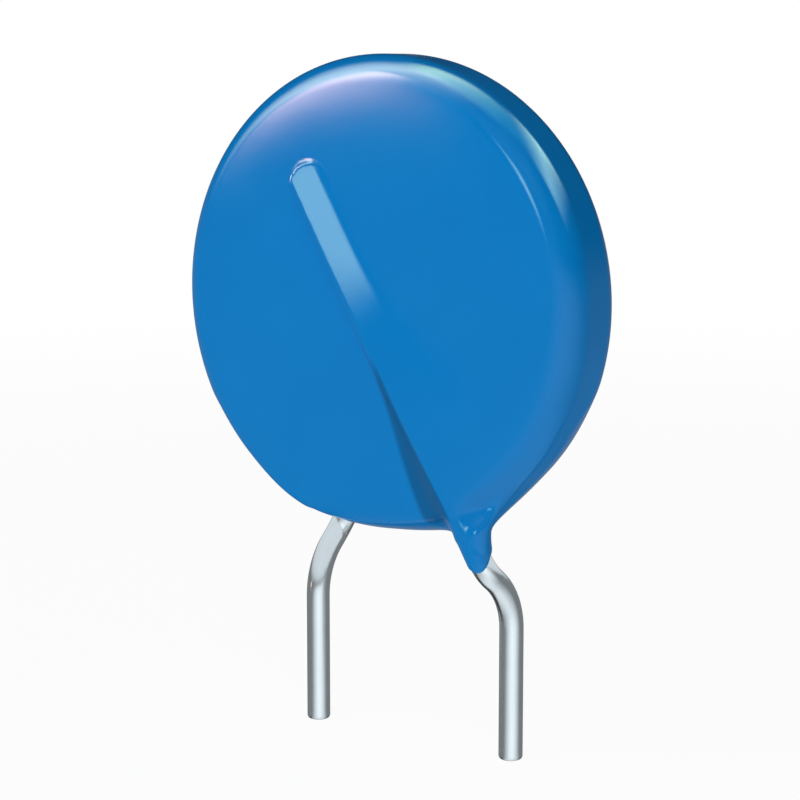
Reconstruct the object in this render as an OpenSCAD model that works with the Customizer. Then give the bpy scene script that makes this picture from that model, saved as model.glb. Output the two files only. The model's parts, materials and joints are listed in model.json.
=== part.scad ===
// Radial-lead disc varistor.
// A sintered zinc oxide disc carries a silver electrode on each face. A tinned copper wire is soldered across
// each electrode, and the whole is dipped in blue epoxy, which stands up as a ridge over each wire and runs
// down it as a tail where the wire leaves the body. Both wires then step in to one line of board holes.
//
// The origin is midway between the two leads, on the board's top face. +Z is up, the marked face looks along
// -Y, and the leads stand apart along X. The back lead is the front lead turned half a turn about Z.

/* [Body] */
// Diameter of the coated body
body_d = 20; // [19.6:0.1:21]
// Thickness of the coated body between its flat faces
body_t = 3.9; // [3.7:0.05:4.1]
// Radius of the body's rounded edges
edge_r = 1.1; // [0.9:0.05:1.3]
// Height of the body's centre over the board
body_z = 13.3; // [13.1:0.1:13.9]
// How far the body's centre is from the middle of the leads, along X
body_off_x = -1.05; // [-1.2:0.05:0]

/* [Varistor disc] */
// Diameter of the zinc oxide disc
disc_d = 18; // [17:0.1:18.2]
// Thickness of the zinc oxide disc
disc_t = 2.2; // [2:0.1:2.2]
// Bevel around the disc's edges
disc_bevel = 0.2; // [0.1:0.05:0.3]
// Diameter of the silver electrodes
electrode_d = 16; // [15:0.1:16.6]
// Thickness of the silver electrodes
electrode_t = 0.05; // [0.03:0.01:0.08]

/* [Leads] */
// Diameter of the wire
wire_d = 1; // [0.8:0.05:1]
// Distance between the leads at the board
lead_pitch = 10; // [9.5:0.1:10.5]
// Angle of the wire across the disc, from vertical
lead_angle = 30; // [28:0.5:32]
// Length of the straight run from the wire's upper end to the corner under the body
run_length = 17.7; // [17.4:0.1:18]
// Height of that corner over the board
exit_z = 2.7; // [2.65:0.05:2.9]
// Height over the board of the corner where the wire turns straight down
kink_z = 1.35; // [1.2:0.05:1.4]
// How much further out the front leg is than its corner under the body
front_step_x = 0.2; // [0:0.05:0.4]
// How much further out the back leg is than its corner under the body
back_step_x = -0.1; // [-0.2:0.05:0.3]
// Radius of the bend under the body, to the wire's centre line
exit_r = 1.1; // [1:0.05:1.15]
// Radius of the bend over the board, to the wire's centre line
kink_r = 2.8; // [2:0.1:2.8]
// Length of the straight leads under the board's top face
lead_length = 5.5; // [3:0.5:20]

/* [Solder] */
// Thickness of the solder between wire and electrode
solder_film = 0.05; // [0.03:0.01:0.08]
// Half the width of the solder along the wire
solder_w = 1.1; // [0.9:0.05:1.3]
// Height of the solder up the wire's side
solder_h = 0.5; // [0.4:0.05:0.55]

/* [Coating over the wires] */
// Thickness of the coating on the crest of a ridge
crest_t = 0.22; // [0.18:0.02:0.3]
// Half the width of a ridge at its upper end
ridge_w = 1; // [0.9:0.05:1.2]
// How much wider than that half a ridge is where it reaches the body's edge
ridge_spread = 0.6; // [0.3:0.1:0.8]
// Radius of a tail, around the wire
tail_r = 0.56; // [0.54:0.01:0.62]
// How far the front tail runs down its wire from the body's edge
front_tail = 2.1; // [1.8:0.05:2.3]
// How far the back tail runs down its wire from the body's edge
back_tail = 0.45; // [0.4:0.05:1]
// Radius of the hollow web beside the front tail, on the side away from the other lead
outer_web_r = 2.5; // [1.5:0.1:3]
// Radius of the hollow web on the tails' other sides
inner_web_r = 0.8; // [0.6:0.05:1.2]
// Radius of the hollow web behind a tail, across the body's thickness
back_web_r = 2; // [1.4:0.1:2.4]

/* [Hidden] */

BLUE = [0.01, 0.30, 0.62];
CERAMIC = [0.16, 0.16, 0.17];
SILVER = [0.86, 0.86, 0.84];
SOLDER = [0.66, 0.67, 0.69];
TIN = [0.75, 0.77, 0.79];

body_r = body_d / 2;
wire_r = wire_d / 2;
centre = [body_off_x, 0, body_z];
electrode_y = disc_t / 2 + electrode_t;
wire_y = electrode_y + solder_film + wire_r;
tip_bevel = 0.15;
// The bent wire goes this far into its straight leg, and is this much thinner there.
leg_lap = 0.3;
leg_gap = 0.002;

// The wires stop a little short of round in the bends and across the disc, where they are flat-sided.
wire_sides = 24;

// Each wire as drawn on the front: its corner under the body, its corner over the board, and its upper end.
exit_corners = [for (out = [front_step_x, back_step_x]) [lead_pitch / 2 - out, -wire_y, exit_z]];
kink_corner = [lead_pitch / 2, 0, kink_z];
run_dir = [sin(lead_angle), 0, -cos(lead_angle)];
across_dir = [cos(lead_angle), 0, sin(lead_angle)];
down = [0, 0, -1];

function unit(v) = v / norm(v);
function between(a, b) = acos(unit(a) * unit(b));
function mix(a, b, share) = a + (b - a) * share;
// A frame as a matrix, from its X, Y and Z directions and its origin.
function frame(x, y, z, o) = [for (i = [0:2]) [x[i], y[i], z[i], o[i]]];
function wire_top(side) = exit_corners[side] - run_length * run_dir;

// Places and directions along a bend of radius r at a corner, from direction a to direction b.
function bend(corner, a, b, r, steps) =
    let (inward = unit(b - (b * a) * a),
         turn = between(a, b),
         hub = corner - r * tan(turn / 2) * a + r * inward)
    [for (i = [0:steps])
        let (t = turn * i / steps)
        [hub - r * cos(t) * inward + r * sin(t) * a, cos(t) * a + sin(t) * inward]];

// A wire's centre line from its upper end to where it turns straight down, as places and directions.
function wire_path(side) =
    let (step_dir = unit(kink_corner - exit_corners[side]))
    concat(
        [[wire_top(side), run_dir]],
        bend(exit_corners[side], run_dir, step_dir, exit_r, 8),
        bend(kink_corner, step_dir, down, kink_r, 8));

// A round tube through places and directions, closed at both ends.
module tube(path, r) {
    n = wire_sides;
    skin([for (q = path)
        let (x = unit(cross([0.3, 1, 0.2], q[1])), y = cross(q[1], x))
        [for (i = [0:n - 1]) q[0] + r * (cos(360 * i / n) * x + sin(360 * i / n) * y)]]);
}

// A closed skin through rings that have the same number of points, with flat ends.
module skin(rings) {
    n = len(rings[0]);
    last = len(rings) - 1;
    polyhedron(
        points = [for (r = rings) for (p = r) p],
        faces = concat(
            [[for (i = [0:n - 1]) i]],
            [for (k = [0:last - 1]) for (i = [0:n - 1]) for (f = [0:1])
                let (a = k * n + i, b = k * n + (i + 1) % n)
                f == 0 ? [b, a, a + n] : [b, a + n, b + n]],
            [[for (i = [n - 1:-1:0]) last * n + i]]));
}

module bent_wire(side) {
    path = wire_path(side);
    last = path[len(path) - 1];
    tube(concat(path, [[last[0] + leg_lap * down, down]]), wire_r - leg_gap);
}

module lead_wire(side) {
    bent_wire(side);
    top = kink_z - kink_r * tan(between(kink_corner - exit_corners[side], down) / 2);
    translate([lead_pitch / 2, 0, -lead_length]) {
        translate([0, 0, tip_bevel])
            cylinder(r = wire_r, h = top + lead_length - tip_bevel, $fn = 48);
        cylinder(r1 = wire_r - tip_bevel, r2 = wire_r, h = tip_bevel, $fn = 48);
    }
}

// Turns what is made for the front of the part to its back.
module to_back() {
    rotate([0, 0, 180])
        children();
}

// A disc with its axis along Y, centred on the body, from depth y to y + t.
module coin(d, t, y) {
    translate(centre + [0, y + t, 0])
        rotate([90, 0, 0])
            cylinder(d = d, h = t, $fn = 180);
}

module ceramic() {
    translate(centre)
        rotate([90, 0, 0])
            rotate_extrude($fn = 180)
                difference() {
                    translate([0, -disc_t / 2])
                        square([disc_d / 2, disc_t]);
                    for (side = [-1, 1])
                        translate([disc_d / 2, side * disc_t / 2])
                            rotate(45)
                                square(disc_bevel * sqrt(2), center = true);
                }
}

// Half the solder's section beside the wire: it climbs from the electrode to the wire in a hollow curve.
module solder_half() {
    difference() {
        square([solder_w, solder_h]);
        translate([solder_w, solder_h])
            circle(r = solder_h - solder_film, $fn = 96);
    }
}

// Solder along a wire, with a round end over the wire's upper end. It stops inside the electrode's edge.
module solder_bulk(side) {
    inside_edge = 0.4;
    foot = [wire_top(side)[0], -electrode_y, wire_top(side)[2]];
    arm = foot - [side == 0 ? body_off_x : -body_off_x, -electrode_y, body_z];
    length = sqrt(pow(electrode_d / 2 - inside_edge, 2) - pow(arm * across_dir, 2)) - arm * run_dir;
    multmatrix(frame(across_dir, [0, -1, 0], run_dir, foot)) {
        linear_extrude(height = length) {
            solder_half();
            mirror([1, 0])
                solder_half();
        }
        rotate([-90, 0, 0])
            rotate_extrude(angle = 180, $fn = 96)
                solder_half();
    }
}

module solder(side) {
    difference() {
        solder_bulk(side);
        bent_wire(side);
    }
}

// The run across the face seen from the body's centre: where along the wire the body's edge is crossed,
// for the front wire (side 0) or the back wire (side 1).
function edge_at(side) =
    let (middle = [side == 0 ? body_off_x : -body_off_x, 0, body_z],
         along = (middle - wire_top(side)) * run_dir,
         aside = (middle - wire_top(side)) * across_dir)
    along + sqrt(body_r * body_r - aside * aside);

// A round swell that is 1 at zero and falls softly to 0 at one.
function swell(x) = (1 + cos(180 * min(1, abs(x)))) / 2;
function clamp(x, low, high) = min(high, max(low, x));
// A soft climb from 0 at low to 1 at high.
function climb(x, low, high) = swell(1 - clamp((x - low) / (high - low), 0, 1));

// Half the width of a tail at distance d past the body's edge, with a hollow web of radius r beside it that
// runs into both the tail and the body's round edge.
function webbed(d, r) =
    let (lean = asin((tail_r + r) / (body_r + r)),
         low = (body_r + r) * cos(lean) - body_r,
         high = body_r * cos(lean) - body_r,
         drop = low - clamp(d, high, low))
    tail_r + r - sqrt(max(0, r * r - drop * drop));

// Place and frame on a wire at distance t from its upper end, through the first bend.
function wire_at(side, t) =
    let (step_dir = unit(kink_corner - exit_corners[side]),
         straight = run_length - exit_r * tan(between(run_dir, step_dir) / 2),
         inward = unit(step_dir - (step_dir * run_dir) * run_dir),
         axis = cross(run_dir, inward),
         a = max(0, t - straight) / exit_r * 180 / PI,
         place = wire_top(side) + min(t, straight) * run_dir
             + exit_r * (inward * (1 - cos(a)) + run_dir * sin(a)))
    [place, turned(across_dir, axis, a), turned([0, -1, 0], axis, a)];
function turned(v, axis, a) = v * cos(a) + cross(axis, v) * sin(a) + axis * (axis * v) * (1 - cos(a));

// One ring of the coating over a wire, at distance t from the wire's upper end. d is how far that is past
// the body's edge. Its points are [across, outwards], from the wire's middle, and outwards is away from the disc.
// On the face its outer half is a round ridge with hollow sides and a foot that is sunk into the face. Past the
// edge it is an egg round the wire, as wide as the webs on its sides, and between the two it is a blend. At the
// edge the egg is widest where the body's rounded edge starts, and past it the widest place moves to the wire.
foot = body_t / 2 - wire_y - 0.05;
crest = wire_r + crest_t;
edge_depth = wire_y - (body_t / 2 - edge_r);
// The ridge turns into the egg between these distances from the edge.
turn_from = -1.4;
turn_to = 0.1;
// The crest runs down to the tail's radius from this distance, over most of the tail.
fall_from = -0.6;
fall_share = 0.9;
// The widest place has moved to the wire at this distance.
centred_at = 1.3;
// At the tail's lower end the film narrows over this length to its thickness there.
tip_run = 0.35;
tip_film = 0.03;
// The ridge's round upper end is centred this far down the wire.
head_at = 0.3;
ridge_points = 20;
base_points = 10;
function ring(t, edge, tail, outer_r, inner_r) =
    let (d = t - edge,
         past = climb(d, turn_from, turn_to),
         w = ridge_w + ridge_spread * clamp(t / edge, 0, 1),
         shrink = mix(1, (wire_r + tip_film) / tail_r, climb(d, tail - tip_run, tail)),
         top = mix(crest, tail_r, climb(d, fall_from, fall_share * tail)) * shrink,
         outer = mix(w, webbed(d, outer_r), past) * shrink,
         inner = mix(w, webbed(d, inner_r), past) * shrink,
         back = mix(1, webbed(d, back_web_r), past) * shrink,
         level = edge_depth * (1 - climb(d, 0, centred_at)))
    concat(
        [for (i = [0:ridge_points])
            let (a = 180 * i / ridge_points,
                 u = (a < 90 ? outer : inner) * cos(a),
                 ridge = foot + (crest - foot) * swell(norm([u, min(0, t - head_at)]) / w))
            [u, mix(ridge, (top + level) * sin(a) - level, past)]],
        [for (i = [1:base_points - 1])
            let (a = 180 * i / base_points)
            [-(a < 90 ? inner : outer) * cos(a), -level - (back - level) * sin(a)]]);

// The coating's ridge over a wire and its tail down it, as drawn on the front.
module ridge_and_tail(side, tail, outer_r, inner_r) {
    edge = edge_at(side);
    head = [for (k = [0:7]) mix(head_at - ridge_w, ridge_w / 2, k / 7)];
    run = [for (k = [1:5]) mix(ridge_w / 2, edge + turn_from, k / 5)];
    flare = [for (k = [1:24]) mix(edge + turn_from, edge + tail, k / 24)];
    skin([for (t = concat(head, run, flare))
        let (q = wire_at(side, t))
        [for (p = ring(t, edge, tail, outer_r, inner_r)) q[0] + p[0] * q[1] + p[1] * q[2]]]);
}

// The dipped body without its ridges: a coin with rounded edges.
module coated_coin() {
    flat_r = body_r - edge_r;
    wall = body_t / 2 - edge_r;
    translate(centre)
        rotate([90, 0, 0])
            rotate_extrude($fn = 180) {
                translate([0, -body_t / 2])
                    square([flat_r, body_t]);
                translate([0, -wall])
                    square([body_r, 2 * wall]);
                for (side = [-1, 1])
                    translate([flat_r, side * wall])
                        circle(r = edge_r, $fn = 96);
            }
}

module coating() {
    color(BLUE)
        difference() {
            union() {
                coated_coin();
                ridge_and_tail(0, front_tail, outer_web_r, inner_web_r);
                to_back()
                    ridge_and_tail(1, back_tail, inner_web_r, inner_web_r);
            }
            ceramic();
            coin(electrode_d, disc_t + 2 * electrode_t, -electrode_y);
            bent_wire(0);
            solder_bulk(0);
            to_back() {
                bent_wire(1);
                solder_bulk(1);
            }
        }
}

module ceramic_disc() {
    color(CERAMIC)
        ceramic();
}

module front_electrode() {
    color(SILVER)
        coin(electrode_d, electrode_t, -electrode_y);
}

module back_electrode() {
    color(SILVER)
        coin(electrode_d, electrode_t, disc_t / 2);
}

module front_solder() {
    color(SOLDER)
        solder(0);
}

module back_solder() {
    color(SOLDER)
        to_back()
            solder(1);
}

module front_lead() {
    color(TIN)
        lead_wire(0);
}

module back_lead() {
    color(TIN)
        to_back()
            lead_wire(1);
}

coating();
ceramic_disc();
front_electrode();
back_electrode();
front_solder();
back_solder();
front_lead();
back_lead();
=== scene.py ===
"""A radial-lead disc varistor: its dipped blue coat, its two tinned wires, and the studio that it stands in.

Shapes are worked out in millimetres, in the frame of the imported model: +Z up, the front face towards -Y, the
origin midway between the leads on the board's top face. Where a value differs between the two wires, a pair
holds the front wire's and the back wire's.
"""
import json
from math import acos, cos, pi, radians, sin, sqrt, tan

import bpy
import numpy as np
from mathutils import Matrix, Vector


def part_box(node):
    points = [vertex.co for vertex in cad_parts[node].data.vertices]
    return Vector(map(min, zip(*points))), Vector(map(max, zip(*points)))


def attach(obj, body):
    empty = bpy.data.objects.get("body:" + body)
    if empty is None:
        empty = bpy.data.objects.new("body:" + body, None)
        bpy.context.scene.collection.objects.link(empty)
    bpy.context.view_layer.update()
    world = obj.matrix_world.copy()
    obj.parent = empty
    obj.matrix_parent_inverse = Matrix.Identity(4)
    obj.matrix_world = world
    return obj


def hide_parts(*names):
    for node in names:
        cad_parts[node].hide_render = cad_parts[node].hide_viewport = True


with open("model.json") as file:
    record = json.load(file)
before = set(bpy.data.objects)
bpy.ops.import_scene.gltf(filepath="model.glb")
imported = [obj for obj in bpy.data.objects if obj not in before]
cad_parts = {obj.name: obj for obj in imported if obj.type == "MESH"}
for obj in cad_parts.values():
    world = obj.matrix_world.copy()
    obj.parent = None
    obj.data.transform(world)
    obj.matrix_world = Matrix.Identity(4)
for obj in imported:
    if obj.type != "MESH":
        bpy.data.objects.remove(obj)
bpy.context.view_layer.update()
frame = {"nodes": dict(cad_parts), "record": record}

MM = 0.001
# Small enough to count as nothing.
TINY = 1e-6


def box_mm(node):
    """Lowest and highest corner of a node, in millimetres."""
    return [np.array(corner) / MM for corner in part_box(node)]


# The body: the middle of the disc in it, its radius, its thickness and the radius of its edges.
disc_low, disc_high = box_mm("ceramic_disc")
coat_low, coat_high = box_mm("coating")
CENTRE = (disc_low + disc_high) / 2
BODY_R = coat_high[2] - CENTRE[2]
BODY_T = 3.9
EDGE_R = 1.1
# The faces fall by this much towards the rim, along this power of the radius.
CROWN = 0.2
CROWN_POWER = 7
# Under the body the coat is drawn a little flat, along a chord: its distance from the middle, how far it is
# turned from level, and how softly it cuts the circle.
CHORD_AT = 10.5
CHORD_TURN = radians(7)
CHORD_SOFT = 1.6

# The wires, each as it runs on the front of the body. The back wire is made the same way and turned round.
mounts = {mount["name"]: mount for mount in frame["record"]["mounts"]}
PITCH = mounts["lead_pair"]["dims"]["pcd_mm"]
WIRE_R = mounts["lead_pair"]["dims"]["stud_r_mm"]
TIP_Z = box_mm("front_lead")[0][2]
TIP_BEVEL = 0.15
# The straight run down the face: its distance from the body's middle plane, its lean, and its length up to
# the corner of the bend under it.
WIRE_Y = 1.7
LEAN = radians(30)
RUN_LENGTH = 17.7
# The bend under the body and the bend over the board: how far the first corner is inside the leg, the heights
# of the two corners, and the radii of the bends.
EXIT_OUT = (0.2, -0.1)
EXIT_Z = 2.7
KINK_Z = 1.35
EXIT_R = 1.1
KINK_R = 2.8
# How many sides and rings a wire's mesh has. The rings of the run and the leg lie between these shares of
# their lengths, a little short of the bends and the tip. The rings are turned by WIRE_ASIDE, a direction that
# no part of a wire runs in.
WIRE_SIDES = 64
RUN_RINGS, BEND_RINGS, LEG_RINGS, TIP_RINGS = 24, 24, 12, 7
RUN_SHARES = (0, 0.98)
LEG_SHARES = (0.05, 0.95)
WIRE_ASIDE = (0.3, 1, 0.2)

# The ridge over a wire. In each row, a value changes from the first to the second between two shares of the
# way from its upper end to the body's edge: how high it stands over the face, how far its crest is beside the
# wire's middle, and the slopes of its two sides, in degrees.
RIDGE_H = (0.47, 0.42, 0.15, 0.75)
CREST_U = (-0.45, -0.2, 0.45, 0.9)
OUTER_SLOPE = (18, 6, 0.15, 0.75)
INNER_SLOPE = (62, 24, 0.25, 1)
# Its round upper end: its middle, its radius and its slope. It widens by so much between two places along the
# wire that it bounds only the upper end.
HEAD_U = 0.17
HEAD_R = 0.72
HEAD_SLOPE = 72
HEAD_WIDENS = 5
HEAD_LEAVES = (-1.5, 12)
# How softly the crest is rounded, and the foot of the ridge is hollowed.
CREST_SOFT = 0.12
FOOT_SOFT = 0.1
# At the rim the ridge is cut off, but for its middle. Its sides pass into its middle between two distances
# from the crest, and they come up between two places inwards from the rim. What lies outwards is negative.
RIDGE_STAYS = (-1.6, -0.5)
RIDGE_RISES = (-0.2, 1)

# The bead of coating round a wire: hidden in the ridge at first, and a film over the wire near the edge. In
# each row, a value changes from the first to the second between two places past the body's edge: its radius,
# and how softly it runs into the body. At the tail it grows to the tail's radius.
BEAD_R = (0.3, 0.55, -5, -2)
BEAD_SOFT = (0.2, 0.05, -0.4, 0.9)
TAIL_R = 0.56
TAIL_GROWS = (-1.2, 0.7)
# How far the tails reach past the body's edge, how much further on the side that faces out, and how far that
# side is turned across the wire. The film's end is a step between these distances from there.
TAIL_END = (1.68, 0.2)
TONGUE = 0.3
TONGUE_TURN = 0.2
TAIL_STEP = (-0.15, 0.1)
# Where the film has ended, the bead goes on inside the wire, with this radius and over this length.
SUNK_R = 0.42
SUNK_LENGTH = 0.3

# The bar in plan that carries a tail: its radius, half its thickness, and how far it reaches past the body's
# edge.
BAR_R = 0.52
BAR_HALF = 0.54
BAR_END = (1.3, -0.8)
# How soft the hollow webs are beside each bar, towards the other lead and away from it. One passes into the
# other between two places across the wire. The inner one falls to the least between two places past the edge.
WEB_INNER = (4.0, 1.2)
WEB_OUTER = (2.6, 4.0)
WEB_ACROSS = (-0.2, 0.6)
WEB_LEAST = 0.6
WEB_END = (-1.2, 1.2)
# A bar acts only from this place past the edge on, and only so far beside the wire. Elsewhere it is taken to
# be FAR off.
EXIT_FROM = -6
EXIT_WIDE = 8
FAR = 9.0
# The body's thickness falls to the bar's between these distances past the rim, but not far beside the wire.
FALL_PAST = ((-0.4, 0.8), (-0.6, 0.8))
FALL_ACROSS = (-7, -5)

# The coat's mesh: the side of a grid cell, the room round the coat's box, how often its corners slide towards
# the surface, the least squared slope that they slide by, and how often touching edges are looked for.
COAT_CELL = 0.1
COAT_MARGIN = 0.3
SLIDES = 3
LEAST_STEEP = 0.2
FILLS = 3

# Directions: down a wire's run, across it, out from the front face, up and down. The front wire's form
# becomes each wire's own when it is multiplied by HALF_TURN.
RUN = np.array([sin(LEAN), 0, -cos(LEAN)])
ACROSS = np.array([cos(LEAN), 0, sin(LEAN)])
OUTWARD = np.array([0.0, -1.0, 0.0])
UP = np.array([0.0, 0.0, 1.0])
DOWN = np.array([0.0, 0.0, -1.0])
FRONT, BACK = 0, 1
HALF_TURN = (np.array([1.0, 1.0, 1.0]), np.array([-1.0, -1.0, 1.0]))


def unit(v):
    return v / np.linalg.norm(v)


EXIT = [np.array([PITCH / 2 - out, -WIRE_Y, EXIT_Z]) for out in EXIT_OUT]
KINK = np.array([PITCH / 2, 0, KINK_Z])
WIRE_TOP = [corner - RUN_LENGTH * RUN for corner in EXIT]
STEP = [unit(KINK - corner) for corner in EXIT]


def edge_at(side):
    """How far along a wire the body's edge is: where its line crosses the circle of the body."""
    middle = CENTRE * HALF_TURN[side] - WIRE_TOP[side]
    return middle @ RUN + sqrt(BODY_R**2 - (middle @ ACROSS) ** 2)


EDGE = [edge_at(side) for side in (FRONT, BACK)]


def climb(x, low, high):
    """Rises from 0 at low to 1 at high along 3t^2 - 2t^3."""
    t = np.clip((x - low) / (high - low), 0, 1)
    return t * t * (3 - 2 * t)


def mix(first, last, share):
    """The value this share of the way from first to last."""
    return first + (last - first) * share


def change(x, first, last, low, high):
    """A value that changes smoothly from first to last while x goes from low to high."""
    return mix(first, last, climb(x, low, high))


def smooth_min(a, b, width):
    """The lesser of a and b, rounded by a parabola where they differ by less than width."""
    near = np.maximum(width - np.abs(a - b), 0) / width
    return np.minimum(a, b) - near * near * width / 4


def beside_wire(p, side):
    """Where points lie beside a wire: along it from its upper end, across it, and out from the disc.
    Past the start of the bend the points are unrolled: the angle round the bend's hub, times its radius, is
    the way along, and the distance from its arc is the way across and out."""
    w = p * HALF_TURN[side] - WIRE_TOP[side]
    t, u, v = w @ RUN, w @ ACROSS, w @ OUTWARD
    inward = unit(STEP[side] - (STEP[side] @ RUN) * RUN)
    iu, iv = inward @ ACROSS, inward @ OUTWARD
    straight = RUN_LENGTH - EXIT_R * tan(acos(STEP[side] @ RUN) / 2)
    past, m, n = t - straight, u * iu + v * iv, v * iu - u * iv
    angle = np.arctan2(np.maximum(past, 0), EXIT_R - m)
    bent_m = EXIT_R - np.hypot(EXIT_R - m, past)
    m = np.where(past > 0, bent_m, m)
    t = np.where(past > 0, straight + EXIT_R * angle, t)
    return t, m * iu - n * iv, m * iv + n * iu


def tail_form(side, u, past):
    """Distance in plan from a bar along the wire, and how softly the bar runs into the body's round edge."""
    bar = np.hypot(u, np.maximum(past - BAR_END[side], 0)) - BAR_R
    inner = change(past, WEB_INNER[side], WEB_LEAST, *WEB_END)
    return bar, change(u, inner, WEB_OUTER[side], *WEB_ACROSS)


def bead_form(side, t, u, v, past):
    """Distance from the bead of coating round a wire, and how softly it runs into the body. It is a film that
    thickens past the edge and ends in a tongue, which is longest on its outer side."""
    radius = change(past, change(past, *BEAD_R), TAIL_R, *TAIL_GROWS)
    end = TAIL_END[side] + TONGUE * (TONGUE_TURN * u + v) / np.maximum(np.hypot(u, v), TINY)
    radius = radius - (TAIL_R - SUNK_R) * climb(past, end + TAIL_STEP[0], end + TAIL_STEP[1])
    beyond = t - np.clip(t, 0, EDGE[side] + end + SUNK_LENGTH)
    return np.sqrt(beyond**2 + u * u + v * v) - radius, change(past, *BEAD_SOFT)


def ridge_height(side, t, u, rim):
    """How high the ridge over a wire stands over the face. Down the wire its outer side goes from a slope to
    almost level and its inner side from a cliff to a slope. It starts with a round end. At the rim only its
    middle goes on, into the tail."""
    share = np.clip(t / EDGE[side], 0, 1)
    crest = change(share, *RIDGE_H)
    u = u - change(share, *CREST_U)
    outer = crest - np.tan(np.radians(change(share, *OUTER_SLOPE))) * u
    inner = crest + np.tan(np.radians(change(share, *INNER_SLOPE))) * u
    wide = HEAD_R + HEAD_WIDENS * climb(t, *HEAD_LEAVES)
    head = tan(radians(HEAD_SLOPE)) * (wide - np.hypot(u + CREST_U[0] - HEAD_U, np.minimum(t, 0)))
    height = smooth_min(smooth_min(inner, outer, CREST_SOFT), head, CREST_SOFT)
    stays = climb(-np.abs(u), *RIDGE_STAYS)
    return -smooth_min(-height, 0, FOOT_SOFT) * (stays + (1 - stays) * climb(-rim, *RIDGE_RISES))


def coat_level(p):
    """Less than 0 inside the coat and 0 on its surface, at an array of points.
    The body is a coin with rounded edges: in plan its circle is cut by a soft chord underneath and joined to
    the bars of the tails, and across the rim its thickness falls to a tail's. The beads are added to it."""
    x, y, z = np.moveaxis(p - CENTRE, -1, 0)
    radius = np.hypot(x, z)
    chord = CHORD_AT - x * sin(CHORD_TURN) + z * cos(CHORD_TURN)
    rim = -smooth_min(BODY_R - radius, chord, CHORD_SOFT)
    plan = rim
    half = BODY_T / 2 - CROWN * np.minimum(radius / BODY_R, 1) ** CROWN_POWER
    edge, middle, depth = EDGE_R, 0.0, y
    beads = []
    for side, outer in ((FRONT, -1), (BACK, 1)):
        t, u, v = beside_wire(p, side)
        past = t - EDGE[side]
        near = (past > EXIT_FROM) & (np.abs(u) < EXIT_WIDE)
        bar, web = tail_form(side, u, past)
        plan = smooth_min(plan, np.where(near, bar, FAR), web)
        half = half + np.where(y * outer > 0, ridge_height(side, t, u, rim), 0)
        thin = climb(rim, *FALL_PAST[side]) * climb(-np.abs(u), *FALL_ACROSS) * (past > EXIT_FROM)
        half, edge = mix(half, BAR_HALF, thin), mix(edge, BAR_HALF, thin)
        middle = mix(middle, outer * WIRE_Y, thin)
        depth = np.where((past > 0) & near, outer * (WIRE_Y + v), depth)
        beads.append(bead_form(side, t, u, v, past))
    out = plan + edge
    up = np.abs(depth - middle) - (half - edge)
    level = np.hypot(np.maximum(out, 0), np.maximum(up, 0)) + np.minimum(np.maximum(out, up), 0) - edge
    for bead, hollow in beads:
        level = smooth_min(level, bead, hollow)
    return level


def gradient(level, p, step=1e-3):
    """Slope of a level function at points, from its values a small step to either side."""
    offsets = step * np.eye(3)
    return np.stack([(level(p + o) - level(p - o)) / (2 * step) for o in offsets], -1)


def fill_diagonals(value):
    """Where only two corners of a grid square are inside and they are across from each other, a third corner
    is set to just inside too, because four faces would meet in one edge there. It changes its argument."""
    for _ in range(FILLS):
        for axis in range(3):
            layers = value.transpose(axis, (axis + 1) % 3, (axis + 2) % 3)
            a, b = layers[:, :-1, :-1], layers[:, 1:, 1:]
            c, d = layers[:, :-1, 1:], layers[:, 1:, :-1]
            across = (a < 0) & (b < 0) & (c >= 0) & (d >= 0)
            other = (c < 0) & (d < 0) & (a >= 0) & (b >= 0)
            c[across] = -TINY
            a[other] = -TINY


def level_surface(level, low, high, cell):
    """Mesh of the surface where a level function is 0. Each cell of a cubic grid that the surface passes
    through gets one corner, at the mean of where its edges are crossed. Each crossed edge gets one face,
    from its four cells. Then the corners slide down the slope of the function, onto the surface itself."""
    count = np.ceil((high - low) / cell).astype(int) + 1
    axes = [low[i] + cell * np.arange(count[i]) for i in range(3)]
    value = level(np.stack(np.meshgrid(*axes, indexing="ij"), -1))
    fill_diagonals(value)
    inside = value < 0
    ends = (slice(0, -1), slice(1, None))
    full = sum(inside[i, j, k].astype(int) for i in ends for j in ends for k in ends)
    crossed = (full > 0) & (full < 8)
    number = np.full(crossed.shape, -1)
    number[crossed] = np.arange(crossed.sum())
    cells = np.argwhere(crossed)
    total, hits, faces = np.zeros((len(cells), 3)), np.zeros(len(cells)), []
    for axis in range(3):
        along, one, two = np.roll(np.eye(3, dtype=int), -axis, axis=0)
        for start in (0 * one, one, two, one + two):
            a = cells + start
            from_value, to_value = value[tuple(a.T)], value[tuple((a + along).T)]
            cut = (from_value < 0) != (to_value < 0)
            share = from_value / np.where(cut, from_value - to_value, 1)
            total += np.where(cut[:, None], a + share[:, None] * along, 0)
            hits += cut
        lower = tuple(slice(0, -1) if i == axis else slice(1, -1) for i in range(3))
        upper = tuple(slice(1, None) if i == axis else slice(1, -1) for i in range(3))
        edges = np.argwhere(inside[lower] != inside[upper]) + one + two
        quad = np.stack([number[tuple((edges - o).T)] for o in (one + two, two, 0 * one, one)], 1)
        leaves = inside[tuple(edges.T)]
        faces.append(np.where(leaves[:, None], quad, quad[:, ::-1]))
    verts = low + cell * total / hits[:, None]
    for _ in range(SLIDES):
        slope = gradient(level, verts)
        steep = np.maximum((slope**2).sum(-1), LEAST_STEEP)
        verts = verts - (level(verts) / steep)[:, None] * slope
    return verts, np.concatenate(faces)


def bend(corner, before, after, radius, count):
    """Places and directions along an arc that rounds a corner between two directions."""
    turn = acos(before @ after)
    inward = unit(after - (after @ before) * before)
    hub = corner - radius * tan(turn / 2) * before + radius * inward
    a = np.linspace(0, turn, count)[:, None]
    places = hub - radius * np.cos(a) * inward + radius * np.sin(a) * before
    return places, np.cos(a) * before + np.sin(a) * inward


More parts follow.
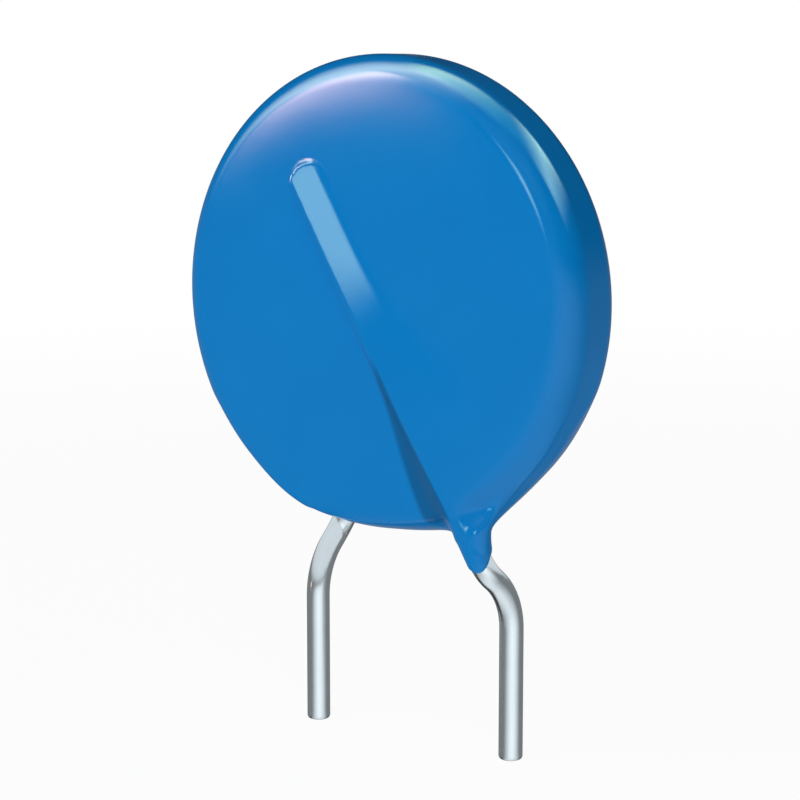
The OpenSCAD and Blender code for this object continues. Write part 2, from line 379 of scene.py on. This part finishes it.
def wire_surface(side):
    """A round tube along a wire: rings at places on its centre line, square to its direction there. The line
    is straight down the face, bends in under the body, bends down over the board and ends in a bevelled tip.
    Returns the rings' points, and how far along the wire each ring is."""
    exit_, exit_ways = bend(EXIT[side], RUN, STEP[side], EXIT_R, BEND_RINGS)
    kink, kink_ways = bend(KINK, STEP[side], DOWN, KINK_R, BEND_RINGS)
    foot = np.array([PITCH / 2, 0, TIP_Z])
    a = np.linspace(0, pi / 2, TIP_RINGS)[:, None]
    tip = foot - DOWN * TIP_BEVEL * (1 - np.sin(a))
    run = mix(WIRE_TOP[side], exit_[0], np.linspace(*RUN_SHARES, RUN_RINGS)[:, None])
    leg = mix(kink[-1], tip[0], np.linspace(*LEG_SHARES, LEG_RINGS)[:, None])
    places = np.concatenate([run, exit_, kink, leg, tip])
    ways = np.concatenate([np.tile(RUN, (RUN_RINGS, 1)), exit_ways, kink_ways,
                           np.tile(DOWN, (LEG_RINGS + TIP_RINGS, 1))])
    radius = np.full(len(places), WIRE_R)
    radius[-TIP_RINGS:] = WIRE_R - TIP_BEVEL * (1 - np.cos(a[:, 0]))
    x = np.cross(WIRE_ASIDE, ways)
    x = x / np.linalg.norm(x, axis=1)[:, None]
    y = np.cross(ways, x)
    angle = np.linspace(0, 2 * pi, WIRE_SIDES, endpoint=False)[:, None]
    circle = np.cos(angle) * x[:, None] + np.sin(angle) * y[:, None]
    rings = places[:, None] + radius[:, None, None] * circle
    steps = np.linalg.norm(np.diff(places, axis=0), axis=1)
    return rings * HALF_TURN[side], np.concatenate([[0], np.cumsum(steps)])


def piece(name, verts, faces, material):
    """A mesh object at the origin, with its place in its mesh, in metres. Every face is smooth."""
    mesh = bpy.data.meshes.new(name)
    mesh.from_pydata((verts * MM).tolist(), [], faces)
    mesh.polygons.foreach_set("use_smooth", np.ones(len(mesh.polygons), bool))
    mesh.materials.append(material)
    mesh.validate()
    obj = bpy.data.objects.new(name, mesh)
    bpy.context.scene.collection.objects.link(obj)
    return obj


def tube_piece(name, rings, along, material):
    """A closed tube from rings of points, with flat ends and a UV map: across is round the tube and up is
    along it, both in millimetres."""
    rows, sides = rings.shape[:2]
    first = np.arange(rows - 1)[:, None] * sides + np.arange(sides)
    next_ = np.arange(rows - 1)[:, None] * sides + (np.arange(sides) + 1) % sides
    quads = np.stack([first, next_, next_ + sides, first + sides], -1).reshape(-1, 4)
    caps = [list(range(sides))[::-1], list(range((rows - 1) * sides, rows * sides))]
    obj = piece(name, rings.reshape(-1, 3), quads.tolist() + caps, material)
    corner = np.array([[0, 0], [1, 0], [1, 1], [0, 1]])
    row, column = np.divmod(np.arange(len(quads)), sides)
    u = (column[:, None] + corner[:, 0]) / sides * 2 * pi * WIRE_R
    v = along[row[:, None] + corner[:, 1]]
    uv = np.zeros((len(obj.data.loops), 2))
    uv[:u.size] = np.stack([u, v], -1).reshape(-1, 2)
    obj.data.uv_layers.new(name="UVMap").data.foreach_set("uv", uv.ravel())
    return obj


class Field:
    """A node's output in a node tree. Arithmetic on fields and numbers adds Math nodes."""

    def __init__(self, tree, output):
        self.tree = tree
        self.output = output

    def node(self, kind, sockets, out=0, **settings):
        """Any other node of the same tree: its settings are set first, then its sockets' values or links."""
        made = self.tree.nodes.new(kind)
        for name, value in settings.items():
            if name == "stops":
                ramp = made.color_ramp.elements
                for place, (at, colour) in enumerate(value):
                    stop = ramp[place] if place < 2 else ramp.new(at)
                    stop.position, stop.color = at, colour
            else:
                setattr(made, name, value)
        for name, value in sockets.items():
            if isinstance(value, Field):
                self.tree.links.new(value.output, made.inputs[name])
            else:
                made.inputs[name].default_value = value
        return Field(self.tree, made.outputs[out])

    def math(self, operation, *values):
        """A Math node on fields and numbers."""
        return self.node("ShaderNodeMath", dict(enumerate(values)), operation=operation)

    def __add__(self, other):
        return self.math("ADD", self, other)

    def __sub__(self, other):
        return self.math("SUBTRACT", self, other)

    def __rsub__(self, other):
        return self.math("SUBTRACT", other, self)

    def __mul__(self, other):
        return self.math("MULTIPLY", self, other)

    def __truediv__(self, other):
        return self.math("DIVIDE", self, other)

    def size(self):
        return self.math("ABSOLUTE", self)

    __radd__ = __add__
    __rmul__ = __mul__

    def dot(self, direction):
        """How far these directions point along another."""
        return self.node("ShaderNodeVectorMath", {0: self, 1: tuple(direction)}, out=1,
                         operation="DOT_PRODUCT")

    def between(self, low, high):
        """A smooth climb from 0 where the field is low to 1 where it is high."""
        return self.node("ShaderNodeMapRange", {"Value": self, "From Min": low, "From Max": high},
                         interpolation_type="SMOOTHSTEP")

    def noise(self, scale, detail=2.0, roughness=0.5):
        """Noise at places given by this field, with features of about 1 / scale."""
        return self.node("ShaderNodeTexNoise",
                         {"Vector": self, "Scale": scale, "Detail": detail, "Roughness": roughness})

    def stretched(self, x, y, z):
        """These places with their coordinates multiplied."""
        return self.node("ShaderNodeVectorMath", {0: self, 1: (x, y, z)}, operation="MULTIPLY")

    def blend(self, first, second):
        """A colour that goes from first to second as this field goes from 0 to 1."""
        return self.node("ShaderNodeMix", {"Factor": self, "A": first, "B": second}, out=2, data_type="RGBA")

    def bump(self, depth):
        """A normal from this field as a height, where 1 is depth in metres."""
        return self.node("ShaderNodeBump", {"Height": self, "Distance": depth, "Strength": 1.0})


def finish(name, **fixed):
    """A new material: its shader with the values that are the same all over, and its two sets of places."""
    material = bpy.data.materials.new(name)
    material.use_nodes = True
    tree = material.node_tree
    shader = tree.nodes["Principled BSDF"]
    for socket, value in fixed.items():
        shader.inputs[socket.replace("_", " ")].default_value = value
    coordinates = tree.nodes.new("ShaderNodeTexCoord")
    places, uv = (Field(tree, coordinates.outputs[name]) for name in ("Object", "UV"))
    return material, shader, places, uv


def feed(shader, **fields):
    """Links fields to a shader's sockets."""
    for socket, field in fields.items():
        field.tree.links.new(field.output, shader.inputs[socket.replace("_", " ")])


# The two colours that each material's small changes lie between, and the darker blue of the shadow painted
# beside the front wire's ridge.
BLUES = ((0.001, 0.172, 0.490, 1), (0.002, 0.200, 0.550, 1))
SHADOWED_BLUE = (0.001, 0.104, 0.290, 1)
TINS = ((0.70, 0.72, 0.73, 1), (0.86, 0.88, 0.89, 1))
CERAMICS = ((0.018, 0.018, 0.022, 1), (0.048, 0.048, 0.055, 1))
SILVERS = ((0.72, 0.71, 0.68, 1), (0.84, 0.83, 0.80, 1))
SOLDERS = ((0.46, 0.47, 0.49, 1), (0.60, 0.61, 0.63, 1))

# Where the ridge's shadow is painted beside the front wire: between which places along the wire, and over what
# lengths it begins and ends.
SHADOW_ALONG = (7.6, 15.5)
SHADOW_BEGINS = 1.4
SHADOW_ENDS = 0.6
# Its foot, across the wire: where it begins, by how much it widens all the way down, and how soft it is.
SHADOW_FOOT = -0.7
SHADOW_WIDENS = 0.9
SHADOW_FOOT_SOFT = (-0.2, 0.1)
# Its crest: where it begins, by how much it moves between two places along the wire, and how soft it is.
SHADOW_CREST = -0.28
SHADOW_MOVES = 0.14
SHADOW_MOVES_ALONG = (11, 15)
SHADOW_CREST_SOFT = (-0.08, 0.06)
# It comes in only on the front, between these distances out from the middle plane.
SHADOW_OUT = (1.2, 1.8)


def painted_ridge_shadow(places):
    """1 beside the lower half of the front wire, on the inner side of its ridge, where the ridge's shadow is
    painted into the coat's colour as a darker blue, and 0 elsewhere. It widens down the wire."""
    along = places.dot(RUN / MM) - WIRE_TOP[FRONT] @ RUN
    across = places.dot(ACROSS / MM) - WIRE_TOP[FRONT] @ ACROSS
    low, high = SHADOW_ALONG
    crest = SHADOW_CREST + SHADOW_MOVES * along.between(*SHADOW_MOVES_ALONG)
    foot = SHADOW_FOOT - SHADOW_WIDENS * along.between(low, high)
    inner = (across - foot).between(*SHADOW_FOOT_SOFT)
    outer = 1 - (across - crest).between(*SHADOW_CREST_SOFT)
    ends = along.between(low, low + SHADOW_BEGINS) * (1 - along.between(high - SHADOW_ENDS, high))
    return inner * outer * ends * places.dot(OUTWARD / MM).between(*SHADOW_OUT)


def blue_epoxy():
    """Glossy dipped epoxy: an even bright blue with faint clouds and a painted shadow beside the front wire's
    ridge, and a skin that is not quite level.
    """
    material, shader, places, _ = finish("blue_epoxy", IOR=1.5, Specular_IOR_Level=0.25)
    clouds = places.noise(scale=260, detail=3.0, roughness=0.6)
    grains = places.noise(scale=5200)
    colour = (clouds * 0.75 + grains * 0.25).blend(*BLUES)
    # The ridge's shadow beside the front wire is painted in here as a darker blue.
    colour = painted_ridge_shadow(places).blend(colour, SHADOWED_BLUE)
    skin = places.noise(scale=420, roughness=0.4) + places.noise(scale=2600) * 0.12
    feed(shader, Base_Color=colour, Roughness=0.10 + clouds * 0.05, Normal=skin.bump(depth=7e-6))
    return material


def tinned_wire():
    """Bright tinned copper: drawing lines along the wire, and a tin coat with soft dull clouds."""
    material, shader, places, uv = finish("tinned_wire")
    lines = uv.stretched(14, 0.35, 1).noise(scale=1.0, detail=4.0, roughness=0.6)
    clouds = places.noise(scale=900, detail=3.0, roughness=0.55)
    feed(shader, Base_Color=(lines * 0.6 + clouds * 0.4).blend(*TINS), Metallic=1 - 0.02 * clouds,
         Roughness=0.18 + 0.06 * clouds, Normal=(lines * 0.5 + clouds).bump(depth=3e-6))
    return material


def zinc_oxide():
    """Sintered ceramic: dark grey, matt, with fine pores."""
    material, shader, places, _ = finish("zinc_oxide_ceramic")
    pores = places.noise(scale=3000, detail=4.0, roughness=0.7)
    feed(shader, Base_Color=pores.blend(*CERAMICS), Roughness=0.7 + 0.2 * pores,
         Normal=pores.bump(depth=1e-5))
    return material


def silver_film():
    """Fired silver paste: satin, with the fine grain of the screen that it was printed through."""
    material, shader, places, _ = finish("silver_electrode")
    grain = places.noise(scale=6000)
    patches = places.noise(scale=500)
    feed(shader, Base_Color=patches.blend(*SILVERS), Metallic=0.9 + 0.1 * patches,
         Roughness=0.38 + 0.16 * grain, Normal=grain.bump(depth=3e-6))
    return material


def tin_solder():
    """Reflowed solder: bright with frosted patches."""
    material, shader, places, _ = finish("solder")
    frost = places.noise(scale=1400, detail=3.0, roughness=0.6)
    feed(shader, Base_Color=frost.blend(*SOLDERS), Metallic=1 - 0.05 * frost,
         Roughness=0.22 + 0.3 * frost, Normal=frost.bump(depth=8e-6))
    return material


# The photograph's view: 35.6 degrees to the right of the front face and 8.6 degrees above it.
VIEW_AZIMUTH = radians(35.613)
VIEW_ELEVATION = radians(8.579)
VIEW_DISTANCE = 91.615
VIEW_LENS = 99.0
# Where the middle of the picture is, right of the body's centre and below it.
VIEW_RIGHT = 0.3504
VIEW_DOWN = 4.3055
# Nothing nearer than this is drawn.
VIEW_NEAR = 5.0


def heading(azimuth, elevation):
    """A direction from the body: azimuth 0 is in front of the front face and 90 is to its right."""
    return np.array([sin(azimuth) * cos(elevation), -cos(azimuth) * cos(elevation), sin(elevation)])


def upright(back):
    """The directions right and up of an upright view that looks against the direction back."""
    right = unit(np.cross(UP, back))
    return right, np.cross(back, right)


def facing(name, data, place, back):
    """An object at a place in millimetres that looks against the direction back, upright."""
    right, up = upright(back)
    obj = bpy.data.objects.new(name, data)
    matrix = Matrix.Identity(4)
    for row in range(3):
        matrix[row] = (right[row], up[row], back[row], place[row] * MM)
    obj.matrix_world = matrix
    bpy.context.scene.collection.objects.link(obj)
    return obj


def camera():
    """The camera at the photograph's viewing angle."""
    back = heading(VIEW_AZIMUTH, VIEW_ELEVATION)
    right, up = upright(back)
    middle = CENTRE + VIEW_RIGHT * right - VIEW_DOWN * up
    data = bpy.data.cameras.new("camera")
    data.lens = VIEW_LENS
    data.clip_start = VIEW_NEAR * MM
    bpy.context.scene.camera = facing("camera", data, middle + VIEW_DISTANCE * back, back)


# Soft lamps for matt surfaces: azimuth, elevation, width and height in degrees, and radiance. They stand this
# far from the body.
SOFTBOXES = {"front_softbox": (15, 26, 50, 30, 1.7), "top_softbox": (0, 48, 60, 40, 2.38)}
LAMP_DISTANCE = 300.0
# How bright the world is to matt surfaces.
AMBIENT = 0.08
# What shiny surfaces see of it: the darkness all round, a grey band low down, and a white band that stands
# ahead of the part and reaches under it. They are a little cool.
SHINY_DARK = 0.02
SHINY_GREY = 0.22
SHINY_WHITE = 1.0
SHINY_COLOUR = (0.86, 0.95, 1.0)
# Elevations, in degrees, between which the grey band rises out of the dark, and between which both bands end.
GREY_RISES = (-45, -20)
BANDS_END = (-2, 14)
# The middle of the white band, in degrees, and the cosines of the angles from it between which it begins.
WHITE_AZIMUTH = 44
WHITE_MIDDLE = -50
WHITE_BEGINS = (0.25, 0.6)
# Windows with soft edges that shiny surfaces see: azimuth, elevation, half their width and height, how soft
# their edges are across and up, all in degrees, then radiance and colour. They are flat, and every direction
# is taken to point ahead by at least LEAST_AHEAD.
LEAST_AHEAD = 0.01
WINDOWS = (
    (-41, 21, 4.8, 17.5, 4.9, 4.0, 29.0, (1.0, 0.65, 0.56)),
    (-52, 42, 1.5, 29.8, 30, 10, 34.0, (0.91, 1.0, 0.72)),
    (-6, 13.5, 5.5, 5, 3, 4.5, 14.0, (0.66, 1.0, 0.74)),
    (118, 48, 30, 7, 6, 14, 17.0, (0.6, 1.0, 0.75)),
)
# A round ceiling light that shiny surfaces see: azimuth, elevation, radius and how soft its edge is, in
# degrees, its radiance, and its colours from the part's left to its right, between two sines.
CEILING = (117, 84.5, 19.5, 14.8)
CEILING_RADIANCE = 23.0
CEILING_LEFT, CEILING_RIGHT = -0.3, 0.5
CEILING_COLOURS = ((0.67, 0.99, 0.52), (0.36, 0.54, 0.34), (0.12, 0.28, 0.17), (0.03, 0.13, 0.12),
                   (0.03, 0.15, 0.14))
# The floor: its radius, how far it lies under the wires' tips, its paint, and how bright the camera sees its
# middle, which goes to white between these shares of its radius.
FLOOR_R = 260.0
FLOOR_DROP = 0.02
FLOOR_PAINT = (0.86, 0.87, 0.88, 1)
FLOOR_MIDDLE = 0.95
FLOOR_WHITENS = (0.2, 0.7)
# How much of the floor's light on the part is its own, as on a light table.
FLOOR_GLOW = 1.0
# A grey card over the wires' bends: its height, its radius, and the share of it from which its edge fades
# out. It goes from bright to dark between two distances from its middle.
CARD_Z = 3.45
CARD_R = 80.0
CARD_FADES = 0.7
CARD_BRIGHT = 0.88
CARD_DARK = 0.2
CARD_DARKENS = (6.0, 26.0)
# How many sides the floor and the card have.
DISC_SIDES = 96
# A mix node's sockets for its two vectors.
VECTOR_A, VECTOR_B = 4, 5


def softbox(name, azimuth, elevation, width, height, radiance):
    """A flat lamp towards the body, seen from it at two angles, its sides given as angles too, in degrees.
    It lights matt surfaces; shiny ones see the world's windows."""
    data = bpy.data.lights.new(name, "AREA")
    data.shape = "RECTANGLE"
    data.size = 2 * LAMP_DISTANCE * tan(radians(width / 2)) * MM
    data.size_y = 2 * LAMP_DISTANCE * tan(radians(height / 2)) * MM
    data.energy = radiance * pi * data.size * data.size_y
    back = heading(radians(azimuth), radians(elevation))
    lamp = facing(name, data, CENTRE + LAMP_DISTANCE * back, back)
    lamp.visible_camera = False
    lamp.visible_glossy = False


def window(way, azimuth, elevation, wide, high, soft_wide, soft_high):
    """1 where a direction points into a window with soft edges, and 0 outside it."""
    back = heading(radians(azimuth), radians(elevation))
    right, up = upright(back)
    ahead = way.dot(back)
    front = ahead.math("MAXIMUM", ahead, LEAST_AHEAD)
    sides, ends = (
        1 - (way.dot(direction) / front).size().between(tan(radians(half - soft)), tan(radians(half + soft)))
        for direction, half, soft in ((right, wide, soft_wide), (up, high, soft_high)))
    return sides * ends


def low_bands(way):
    """How bright shiny surfaces see the dark, the grey band and the white band in a direction."""
    height = way.dot(UP)
    aside = way.dot(heading(radians(WHITE_AZIMUTH + 90), 0))
    ahead = way.dot(heading(radians(WHITE_AZIMUTH), radians(WHITE_MIDDLE)))
    white = (1 - aside * aside) * ahead.between(*WHITE_BEGINS)
    grey = height.between(*(sin(radians(end)) for end in GREY_RISES))
    below = 1 - height.between(*(sin(radians(end)) for end in BANDS_END))
    return SHINY_DARK + below * (SHINY_GREY * grey + SHINY_WHITE * white)


def ceiling(way):
    """The colour of the round ceiling light in a direction, and its brightness there."""
    azimuth, elevation, radius, soft = CEILING
    share = way.dot(heading(radians(azimuth), radians(elevation))).between(
        cos(radians(radius + soft)), cos(radians(radius - soft)))
    across = (way.dot((1, 0, 0)) - CEILING_LEFT) / (CEILING_RIGHT - CEILING_LEFT)
    steps = len(CEILING_COLOURS) - 1
    stops = [(place / steps, (*colour, 1)) for place, colour in enumerate(CEILING_COLOURS)]
    return across.node("ShaderNodeValToRGB", {"Fac": across}, stops=stops), share * CEILING_RADIANCE


def studio_air():
    """The world: white to the camera, a plain grey light to matt surfaces, and to shiny ones a dark studio
    with windows, a ceiling light and two low bands."""
    world = bpy.data.worlds.new("studio")
    world.use_nodes = True
    bpy.context.scene.world = world
    tree = world.node_tree
    way = Field(tree, tree.nodes.new("ShaderNodeTexCoord").outputs["Generated"])
    rays = tree.nodes.new("ShaderNodeLightPath")
    seen = Field(tree, rays.outputs["Is Camera Ray"])
    shiny = Field(tree, rays.outputs["Is Glossy Ray"])
    lights = [(SHINY_COLOUR, low_bands(way)), ceiling(way)]
    for azimuth, elevation, wide, high, soft_wide, soft_high, radiance, colour in WINDOWS:
        share = window(way, azimuth, elevation, wide, high, soft_wide, soft_high)
        lights.append((colour, share * radiance))
    light = (0, 0, 0)
    for colour, strength in lights:
        glow = strength.node("ShaderNodeVectorMath", {0: colour, "Scale": strength}, operation="SCALE")
        light = glow.node("ShaderNodeVectorMath", {0: light, 1: glow}, operation="ADD")
    plain = seen + (1 - seen) * AMBIENT
    plain = plain.node("ShaderNodeCombineColor", {"Red": plain, "Green": plain, "Blue": plain})
    mirrored = shiny.node("ShaderNodeMix", {"Factor": shiny, VECTOR_A: plain, VECTOR_B: light}, out=1,
                          data_type="VECTOR")
    background = tree.nodes["Background"]
    background.inputs["Strength"].default_value = 1.0
    tree.links.new(mirrored.output, background.inputs["Color"])


def disc(name, radius, height, up, material):
    """A flat round studio piece that faces up or down."""
    angle = np.linspace(0, 2 * pi, DISC_SIDES, endpoint=False)
    ring = np.stack([np.cos(angle) * radius, np.sin(angle) * radius, np.full(DISC_SIDES, height)], -1)
    obj = piece(name, ring, [list(range(DISC_SIDES))[:: 1 if up else -1]], material)
    return obj


def bare_material(name):
    """A new material without a shader: its places, and its output's surface socket."""
    material = bpy.data.materials.new(name)
    material.use_nodes = True
    tree = material.node_tree
    tree.nodes.clear()
    output = tree.nodes.new("ShaderNodeOutputMaterial")
    places = Field(tree, tree.nodes.new("ShaderNodeTexCoord").outputs["Object"])
    return material, places, output.inputs["Surface"]


def card():
    """A grey card over the wires' bends that only shiny surfaces see, and only from below. It keeps the
    windows out of the bends. It is darker further out and has a soft edge."""
    material, places, surface = bare_material("grey_card")
    tree = places.tree
    back = Field(tree, tree.nodes.new("ShaderNodeNewGeometry").outputs["Backfacing"])
    away = places.node("ShaderNodeVectorMath", {0: places}, out=1, operation="LENGTH")
    there = (1 - away.between(CARD_FADES * CARD_R * MM, CARD_R * MM)) * (1 - back)
    bright, dark = (
        places.node("ShaderNodeEmission", {"Color": (*SHINY_COLOUR, 1), "Strength": glow})
        for glow in (CARD_BRIGHT, CARD_DARK))
    darkens = away.between(*(distance * MM for distance in CARD_DARKENS))
    grey = places.node("ShaderNodeMixShader", {0: darkens, 1: bright, 2: dark})
    clear = places.node("ShaderNodeBsdfTransparent", {})
    mixed = places.node("ShaderNodeMixShader", {0: there, 1: clear, 2: grey})
    tree.links.new(mixed.output, surface)
    obj = disc("grey_card", CARD_R, CARD_Z, False, material)
    obj.visible_camera = obj.visible_diffuse = obj.visible_shadow = False


def floor():
    """A pale round floor that the leads stand on, white at its edge. It glows as a light table does, and
    shiny surfaces see the studio instead."""
    material, places, surface = bare_material("pale_floor")
    tree = places.tree
    rays = Field(tree, tree.nodes.new("ShaderNodeLightPath").outputs["Is Camera Ray"])
    away = places.node("ShaderNodeVectorMath", {0: places}, out=1, operation="LENGTH")
    whitens = away.between(*(FLOOR_R * MM * share for share in FLOOR_WHITENS))
    seen = rays * (FLOOR_MIDDLE + (1 - FLOOR_MIDDLE) * whitens)
    matt = 1 - seen - (1 - rays) * FLOOR_GLOW
    paint = places.node("ShaderNodeBsdfDiffuse", {"Color": FLOOR_PAINT})
    white = places.node("ShaderNodeEmission", {"Color": (1, 1, 1, 1), "Strength": 1.0})
    mixed = places.node("ShaderNodeMixShader", {0: matt, 1: white, 2: paint})
    tree.links.new(mixed.output, surface)
    obj = disc("floor", FLOOR_R, TIP_Z - FLOOR_DROP, True, material)
    obj.visible_glossy = False


def build():
    """The whole scene: the camera, the part's meshes and materials, and the studio."""
    camera()
    verts, faces = level_surface(coat_level, coat_low - COAT_MARGIN, coat_high + COAT_MARGIN, COAT_CELL)
    coat = piece("blue_coat", verts, faces.tolist(), blue_epoxy())
    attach(coat, "root")
    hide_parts("coating")

    tin = tinned_wire()
    for side, name, node in ((FRONT, "front_wire", "front_lead"), (BACK, "back_wire", "back_lead")):
        rings, along = wire_surface(side)
        wire = tube_piece(name, rings, along, tin)
        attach(wire, "root")
        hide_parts(node)

    inner = {"ceramic_disc": zinc_oxide()}
    inner["front_electrode"] = inner["back_electrode"] = silver_film()
    inner["front_solder"] = inner["back_solder"] = tin_solder()
    for node, material in inner.items():
        for slot in frame["nodes"][node].material_slots:
            slot.material = material

    floor()
    card()
    studio_air()
    for name, values in SOFTBOXES.items():
        softbox(name, *values)
    bpy.context.scene.view_settings.view_transform = "Standard"


build()
